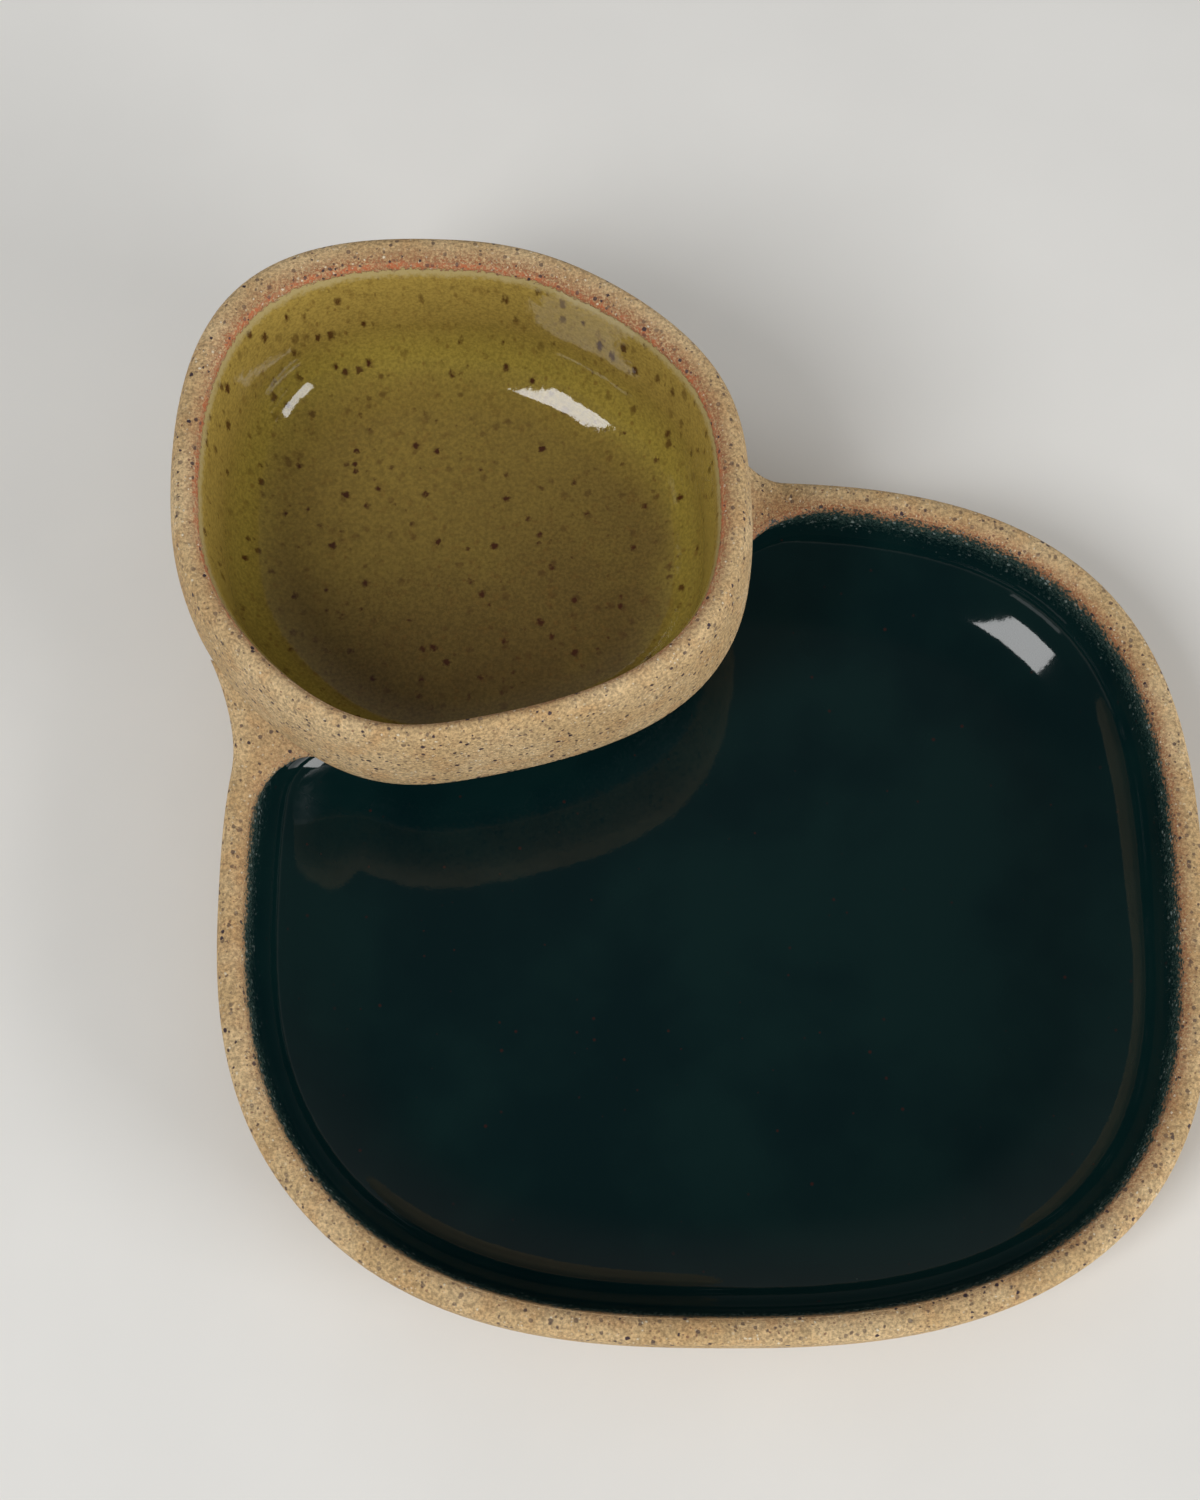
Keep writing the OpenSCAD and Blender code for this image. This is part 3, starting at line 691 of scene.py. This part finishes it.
def makeClayGroup():
    look = clayLook
    group = bpy.data.node_groups.new("speckledClay", "ShaderNodeTree")
    for name in ("Reach", "Toast", "Flash"):
        group.interface.new_socket(name, in_out="INPUT", socket_type="NodeSocketFloat")
    group.interface.new_socket("Colour", in_out="OUTPUT", socket_type="NodeSocketColor")
    for name in ("Roughness", "Height"):
        group.interface.new_socket(name, in_out="OUTPUT", socket_type="NodeSocketFloat")
    given = group.nodes.new("NodeGroupInput").outputs
    out = group.nodes.new("NodeGroupOutput").inputs
    place = objectPlace(group)
    grainPlace = ragged(group, place, *look["ragged"])
    drift = patches(group, place, look["driftNoise"], look["driftSpan"])
    warm = patches(group, place, look["warmNoise"], look["warmSpan"])
    fine = cloud(group, place, *look["fineNoise"])
    grit = cloud(group, place, *look["gritNoise"])
    colour = blend(group, drift, look["sand"], look["pale"])
    colour = blend(group, warm, colour, look["warm"])
    colour = blend(group, 1.0, colour, ramp(group, fine, *look["fineSpan"]), "MULTIPLY")
    # fired edge beside the glaze, stronger toward the back: a broad brown toasting and a broken orange line
    side = splitPlace(group, place)
    grainy = patches(group, place, look["firedNoise"], look["firedSpan"])
    near = calc(group, "ADD", given["Reach"], swing(group, place, look["wanderNoise"], look["wander"]))
    toasted = times(group, ramp(group, near, *look["toastSpan"]), given["Toast"])
    toBackRight = calc(group, "ADD", side["X"], side["Y"])
    toasted = times(group, toasted, ramp(group, toBackRight, *look["toastSide"]))
    colour = blend(group, times(group, toasted, grainy, clamp=True), colour, look["toast"])
    line = times(group, ramp(group, near, *look["lineSpan"]), ramp(group, near, *look["lineEndSpan"]))
    line = times(group, line, patches(group, place, look["brokenNoise"], look["brokenSpan"]))
    line = times(group, line, given["Flash"])
    line = times(group, line, ramp(group, side["Y"], *look["lineSide"]))
    colour = blend(group, times(group, line, grainy, clamp=True), colour, look["flash"])
    palest = specks(group, grainPlace, **look["palest"])
    colour = blend(group, times(group, palest, look["palestShow"]), colour, look["grain"])
    rusty = specks(group, grainPlace, **look["rusty"])
    colour = blend(group, times(group, rusty, look["rustyShow"]), colour, look["rust"])
    iron = specks(group, grainPlace, **look["dark"])
    colour = blend(group, iron, colour, look["iron"])
    feed(group, out["Colour"], colour)
    dull = ramp(group, fine, *look["dullSpan"])
    feed(group, out["Roughness"], mixValue(group, iron, dull, look["ironDull"]))
    height = calc(group, "ADD", fine, times(group, grit, look["gritHeight"]))
    height = calc(group, "ADD", height, times(group, palest, look["palestHeight"]))
    feed(group, out["Height"], calc(group, "SUBTRACT", height, times(group, iron, look["ironDepth"])))
    return group


def clayIn(tree, group, reach, fired):
    node = tree.nodes.new("ShaderNodeGroup")
    node.node_tree = group
    feed(tree, node.inputs["Reach"], reach)
    node.inputs["Toast"].default_value = fired["toast"]
    node.inputs["Flash"].default_value = fired["flash"]
    return node.outputs


def newFinish(name):
    material = bpy.data.materials.new(name)
    material.use_nodes = True
    tree = material.node_tree
    return material, tree, tree.nodes["Principled BSDF"]


def bump(tree, shader, height, depth):
    node = tree.nodes.new("ShaderNodeBump")
    node.inputs["Distance"].default_value = depth
    feed(tree, node.inputs["Height"], height)
    tree.links.new(node.outputs["Normal"], shader.inputs["Normal"])


def makeBareClay(name, group, fired):
    material, tree, shader = newFinish(name)
    clay = clayIn(tree, group, reachOf(tree), fired)
    tree.links.new(clay["Colour"], shader.inputs["Base Color"])
    tree.links.new(clay["Roughness"], shader.inputs["Roughness"])
    shader.inputs["Specular IOR Level"].default_value = clayLook["shine"]
    bump(tree, shader, clay["Height"], clayLook["bump"])
    return material


tealLook = {
    "deep": (0.0014, 0.0100, 0.0112), "light": (0.0030, 0.0150, 0.0150), "thin": (0.030, 0.058, 0.050),
    "rust": (0.035, 0.010, 0.008), "pinhole": (0.28, 0.33, 0.31),
    "edgeNoise": (1300.0, 3.0, 0.75), "edge": 8.5, "slowNoise": (160.0, 3.0, 0.55), "slow": 1.6,
    "reachShare": 0.55, "coverSpan": (-0.25, 0.35), "thickSpan": (0.2, 3.4),
    "toneNoise": (24.0, 3.0, 0.55), "toneSpan": (0.35, 0.65),
    "rusty": {"spacing": 0.0036, "share": 0.75, "small": 0.05, "large": 0.15, "soft": 0.08, "faint": 0.3},
    "holes": {"spacing": 0.014, "share": 0.7, "small": 0.006, "large": 0.016, "soft": 0.01, "faint": 1.0},
    "sparks": {"spacing": 0.0011, "share": 0.70, "small": 0.22, "large": 0.50, "soft": 0.14, "faint": 0.2},
    "rustyShow": 0.75, "sparkRagged": (1600.0, 0.0005), "sparkSpan": (0.8, 4.2, 0.85, 0.0),
    "gloss": 0.055, "thinGloss": 0.36, "shine": 0.36,
    "ringTurn": 3.6, "ringSpan": (2.0, 9.0, 0.16, 0.0), "rippleNoise": (150.0, 4.0, 0.55), "ripple": 0.14,
    "clayHeight": 0.7, "bump": 0.00022,
}


def makeTealGlaze(group):
    look = tealLook
    material, tree, shader = newFinish("tealGlaze")
    place = objectPlace(tree)
    reach = reachOf(tree)
    clay = clayIn(tree, group, reach, firing["chip"])
    edge = swing(tree, place, look["edgeNoise"], look["edge"])
    slow = swing(tree, place, look["slowNoise"], look["slow"])
    uneven = calc(tree, "ADD", calc(tree, "ADD", times(tree, reach, look["reachShare"]), edge), slow)
    covered = ramp(tree, uneven, *look["coverSpan"])
    thick = ramp(tree, uneven, *look["thickSpan"])
    tone = patches(tree, place, look["toneNoise"], look["toneSpan"])
    colour = blend(tree, tone, look["deep"], look["light"])
    rusty = specks(tree, place, **look["rusty"])
    colour = blend(tree, times(tree, rusty, look["rustyShow"]), colour, look["rust"])
    colour = blend(tree, thick, look["thin"], colour)
    holes = specks(tree, place, **look["holes"])
    sparks = specks(tree, ragged(tree, place, *look["sparkRagged"]), **look["sparks"])
    sparks = times(tree, sparks, ramp(tree, uneven, *look["sparkSpan"]))
    colour = blend(tree, calc(tree, "MAXIMUM", holes, sparks), colour, look["pinhole"])
    colour = blend(tree, covered, clay["Colour"], colour)
    tree.links.new(colour, shader.inputs["Base Color"])
    gloss = mixValue(tree, thick, look["thinGloss"], look["gloss"])
    tree.links.new(mixValue(tree, covered, clay["Roughness"], gloss), shader.inputs["Roughness"])
    shader.inputs["Specular IOR Level"].default_value = look["shine"]
    # throwing lines near the rim, a slow ripple all over, and the clay's grit where the glaze is thin
    rings = calc(tree, "SINE", times(tree, calc(tree, "ADD", reach, slow), look["ringTurn"]))
    rings = times(tree, rings, ramp(tree, reach, *look["ringSpan"]))
    ripple = times(tree, cloud(tree, place, *look["rippleNoise"]), look["ripple"])
    glassy = calc(tree, "ADD", rings, ripple)
    height = mixValue(tree, thick, times(tree, clay["Height"], look["clayHeight"]), glassy)
    bump(tree, shader, height, look["bump"])
    return material


oliveLook = {
    # the wall colour is lightened as painted light, and the near floor colour is darkened as painted shade of
    # the near wall
    "wall": (0.36, 0.25, 0.056), "pool": (0.32, 0.245, 0.040), "thin": (0.46, 0.36, 0.16),
    "shadedFloorNear": (0.110, 0.069, 0.018), "floorFar": (0.24, 0.165, 0.035),
    "spot": (0.060, 0.019, 0.006), "mottle": (0.15, 0.076, 0.016),
    "edgeNoise": (900.0, 3.0, 0.7), "edge": 4.0, "slowNoise": (150.0, 3.0, 0.55), "slow": 1.2,
    "coverSpan": (-0.15, 0.35), "thickSpan": (0.9, 3.2),
    "wanderNoise": (60.0, 3.0, 0.55), "wander": 0.006, "slant": 0.35,
    "floorShadeSpan": (0.040, 0.118), "litWallSpan": (0.024, 0.062),
    "poolSpan": (0.029, 0.036), "poolEndSpan": (0.036, 0.050, 1.0, 0.0), "poolShow": 0.6,
    "drip": (1.0, 1.0, 0.45), "mottleNoise": (420.0, 4.0, 0.6), "mottleSpan": (0.52, 0.78, 0.0, 0.5),
    "fineNoise": (1200.0, 4.0, 0.65), "fineSpan": (0.30, 0.70, 0.78, 1.20),
    "spots": {"spacing": 0.0028, "share": 1.00, "small": 0.18, "large": 0.46, "soft": 0.22, "faint": 0.35},
    "dots": {"spacing": 0.0015, "share": 0.90, "small": 0.18, "large": 0.44, "soft": 0.20, "faint": 0.1},
    "spotRagged": (1100.0, 0.0015), "dotRagged": (900.0, 0.0008), "dotShow": 0.6,
    "gloss": 0.05, "rippleNoise": (240.0, 4.0, 0.45), "ripple": 0.42, "bump": 0.00022,
}


def makeOliveGlaze(group):
    look = oliveLook
    material, tree, shader = newFinish("oliveGlaze")
    place = objectPlace(tree)
    reach = reachOf(tree)
    clay = clayIn(tree, group, reach, firing["underOlive"])
    edge = swing(tree, place, look["edgeNoise"], look["edge"])
    slow = swing(tree, place, look["slowNoise"], look["slow"])
    uneven = calc(tree, "ADD", calc(tree, "ADD", reach, edge), slow)
    covered = ramp(tree, uneven, *look["coverSpan"])
    thick = ramp(tree, uneven, *look["thickSpan"])
    # painted shade and light: the floor is darker at the front right as painted shade of the near wall, the
    # wall paler as painted light, and the glaze pools where they meet
    side = splitPlace(tree, place)
    level = calc(tree, "ADD", side["Z"], swing(tree, place, look["wanderNoise"], look["wander"]))
    outOfShade = calc(tree, "SUBTRACT", side["Y"], times(tree, side["X"], look["slant"]))
    colour = blend(tree, ramp(tree, outOfShade, *look["floorShadeSpan"]), look["shadedFloorNear"], look["floorFar"])
    colour = blend(tree, ramp(tree, level, *look["litWallSpan"]), colour, look["wall"])
    pooled = times(tree, ramp(tree, level, *look["poolSpan"]), ramp(tree, level, *look["poolEndSpan"]))
    colour = blend(tree, times(tree, pooled, look["poolShow"]), colour, look["pool"])
    # mottling and spots, drawn out downward
    drips = stretched(tree, place, look["drip"])
    mottled = patches(tree, drips, look["mottleNoise"], look["mottleSpan"])
    colour = blend(tree, mottled, colour, look["mottle"])
    fine = patches(tree, place, look["fineNoise"], look["fineSpan"])
    colour = blend(tree, 1.0, colour, fine, "MULTIPLY")
    dots = specks(tree, ragged(tree, drips, *look["dotRagged"]), **look["dots"])
    colour = blend(tree, times(tree, dots, look["dotShow"]), colour, look["mottle"])
    spots = specks(tree, ragged(tree, drips, *look["spotRagged"]), **look["spots"])
    colour = blend(tree, spots, colour, look["spot"])
    colour = blend(tree, thick, look["thin"], colour)
    colour = blend(tree, covered, clay["Colour"], colour)
    tree.links.new(colour, shader.inputs["Base Color"])
    tree.links.new(mixValue(tree, covered, clay["Roughness"], look["gloss"]), shader.inputs["Roughness"])
    ripple = times(tree, cloud(tree, place, *look["rippleNoise"]), look["ripple"])
    bump(tree, shader, mixValue(tree, covered, clay["Height"], ripple), look["bump"])
    return material


clayGroup = makeClayGroup()
chipClay = makeBareClay("chipClay", clayGroup, firing["chip"])
dipClay = makeBareClay("dipClay", clayGroup, firing["dip"])
tealGlaze = makeTealGlaze(clayGroup)
oliveGlaze = makeOliveGlaze(clayGroup)
print("finishes ready")

chipProfile = chipStations()
dipProfile = dipStations()
settleIn(makeChipBowl(chipProfile), "chip_bowl", chipClay)
settleIn(makeDipBowl(dipProfile), "dip_bowl", dipClay)
settleIn(makeChipGlaze(chipProfile), "chip_glaze", tealGlaze)
settleIn(makeDipGlaze(dipProfile), "dip_glaze", oliveGlaze)
settleIn(makeFootRing("chipFoot", chipFootOutline, chip["footHeight"]), "chip_foot", chipClay)
settleIn(makeFootRing("dipFoot", dipFootOutline, dip["footHeight"]), "dip_foot", dipClay)
settleIn(makeJoinCoil("rightJoinCoil", 0), "right_join_coil", chipClay)
settleIn(makeJoinCoil("leftJoinCoil", 1), "left_join_coil", chipClay)

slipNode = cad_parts["luting_slip"]
slipNode.data.materials.clear()
slipNode.data.materials.append(makeBareClay("slipClay", clayGroup, firing["slip"]))
print("slip coloured")

# Stage: a pale floor, two windows at the front, a low sill of light under the left one, and a dim room
stage = {
    "floor": (0.80, 0.79, 0.765), "floorSize": 4.0, "floorCells": 8, "floorDrop": 0.0002,
    "mottleNoise": (14.0, 3.0, 0.55), "mottleSpan": (0.3, 0.7, 0.97, 1.0), "dull": 0.85, "shine": 0.2,
    "windowAway": 2.4,
}
windows = (  # azimuth is turned from the back toward the right
    {"name": "leftWindow", "azimuth": -129.0, "elevation": 48.0, "wide": 0.70, "tall": 1.20, "power": 28.0},
    {"name": "leftSill", "azimuth": -134.0, "elevation": 9.0, "wide": 0.80, "tall": 0.20, "power": 0.6},
    {"name": "rightWindow", "azimuth": 118.0, "elevation": 18.0, "wide": 1.15, "tall": 1.12, "power": 35.0},
)
room = {
    "horizon": (0.60, 0.595, 0.58), "above": (0.06, 0.06, 0.06), "back": (0.22, 0.22, 0.22),
    "fill": (0.36, 0.36, 0.355), "backSpan": (0.0, 1.0), "horizonSpan": (0.03, 0.12),
}


def makeFloor():
    bm = bmesh.new()
    cells = stage["floorCells"]
    bmesh.ops.create_grid(bm, x_segments=cells, y_segments=cells, size=stage["floorSize"])
    for vert in bm.verts:
        vert.co.z = -stage["floorDrop"]
    mesh = bpy.data.meshes.new("floor")
    bm.to_mesh(mesh)
    bm.free()
    floor = bpy.data.objects.new("floor", mesh)
    bpy.context.scene.collection.objects.link(floor)
    material, tree, shader = newFinish("paleFloor")
    mottle = patches(tree, objectPlace(tree), stage["mottleNoise"], stage["mottleSpan"])
    tree.links.new(blend(tree, 1.0, stage["floor"], mottle, "MULTIPLY"), shader.inputs["Base Color"])
    shader.inputs["Roughness"].default_value = stage["dull"]
    shader.inputs["Specular IOR Level"].default_value = stage["shine"]
    floor.data.materials.append(material)


def makeWindow(window):
    light = bpy.data.lights.new(window["name"], "AREA")
    light.shape = "RECTANGLE"
    light.size, light.size_y = window["wide"], window["tall"]
    light.energy = window["power"]
    obj = bpy.data.objects.new(window["name"], light)
    a, e = math.radians(window["azimuth"]), math.radians(window["elevation"])
    toward = Vector((math.sin(a) * math.cos(e), math.cos(a) * math.cos(e), math.sin(e)))
    obj.location = toward * stage["windowAway"]
    obj.rotation_euler = toward.to_track_quat("Z", "Y").to_euler()
    bpy.context.scene.collection.objects.link(obj)


def makeRoom():  # the eye, reflections and glass see a dim room; bare surfaces get its even light
    world = bpy.data.worlds.new("room")
    world.use_nodes = True
    tree = world.node_tree
    toward = splitPlace(tree, tree.nodes.new("ShaderNodeTexCoord").outputs["Generated"])
    dim = blend(tree, ramp(tree, toward["Y"], *room["backSpan"]), room["above"], room["back"])
    seen = blend(tree, ramp(tree, toward["Z"], *room["horizonSpan"]), room["horizon"], dim)
    rays = tree.nodes.new("ShaderNodeLightPath").outputs
    direct = calc(tree, "MAXIMUM", rays["Is Glossy Ray"], rays["Is Transmission Ray"])
    direct = calc(tree, "MAXIMUM", rays["Is Camera Ray"], direct)
    tree.links.new(blend(tree, direct, room["fill"], seen), tree.nodes["Background"].inputs["Color"])
    bpy.context.scene.world = world


chipMiddle = Vector((*chipPlan["middle"], 0))
camera = {
    "place": Vector((-0.0258, -0.14533, 0.5797)), "aim": Vector((-0.0258, 0.0339, 0.0281)),
    "lens": 59.2, "sensor": 36.0,
}


def makeCamera():
    data = bpy.data.cameras.new("camera")
    data.lens = camera["lens"]
    data.sensor_width = camera["sensor"]
    obj = bpy.data.objects.new("camera", data)
    obj.location = chipMiddle + camera["place"]
    obj.rotation_euler = (camera["aim"] - camera["place"]).to_track_quat("-Z", "Y").to_euler()
    bpy.context.scene.collection.objects.link(obj)
    bpy.context.scene.camera = obj


makeFloor()
for window in windows:
    makeWindow(window)
makeRoom()
makeCamera()
bpy.context.scene.view_settings.view_transform = "Standard"
print("stage ready")
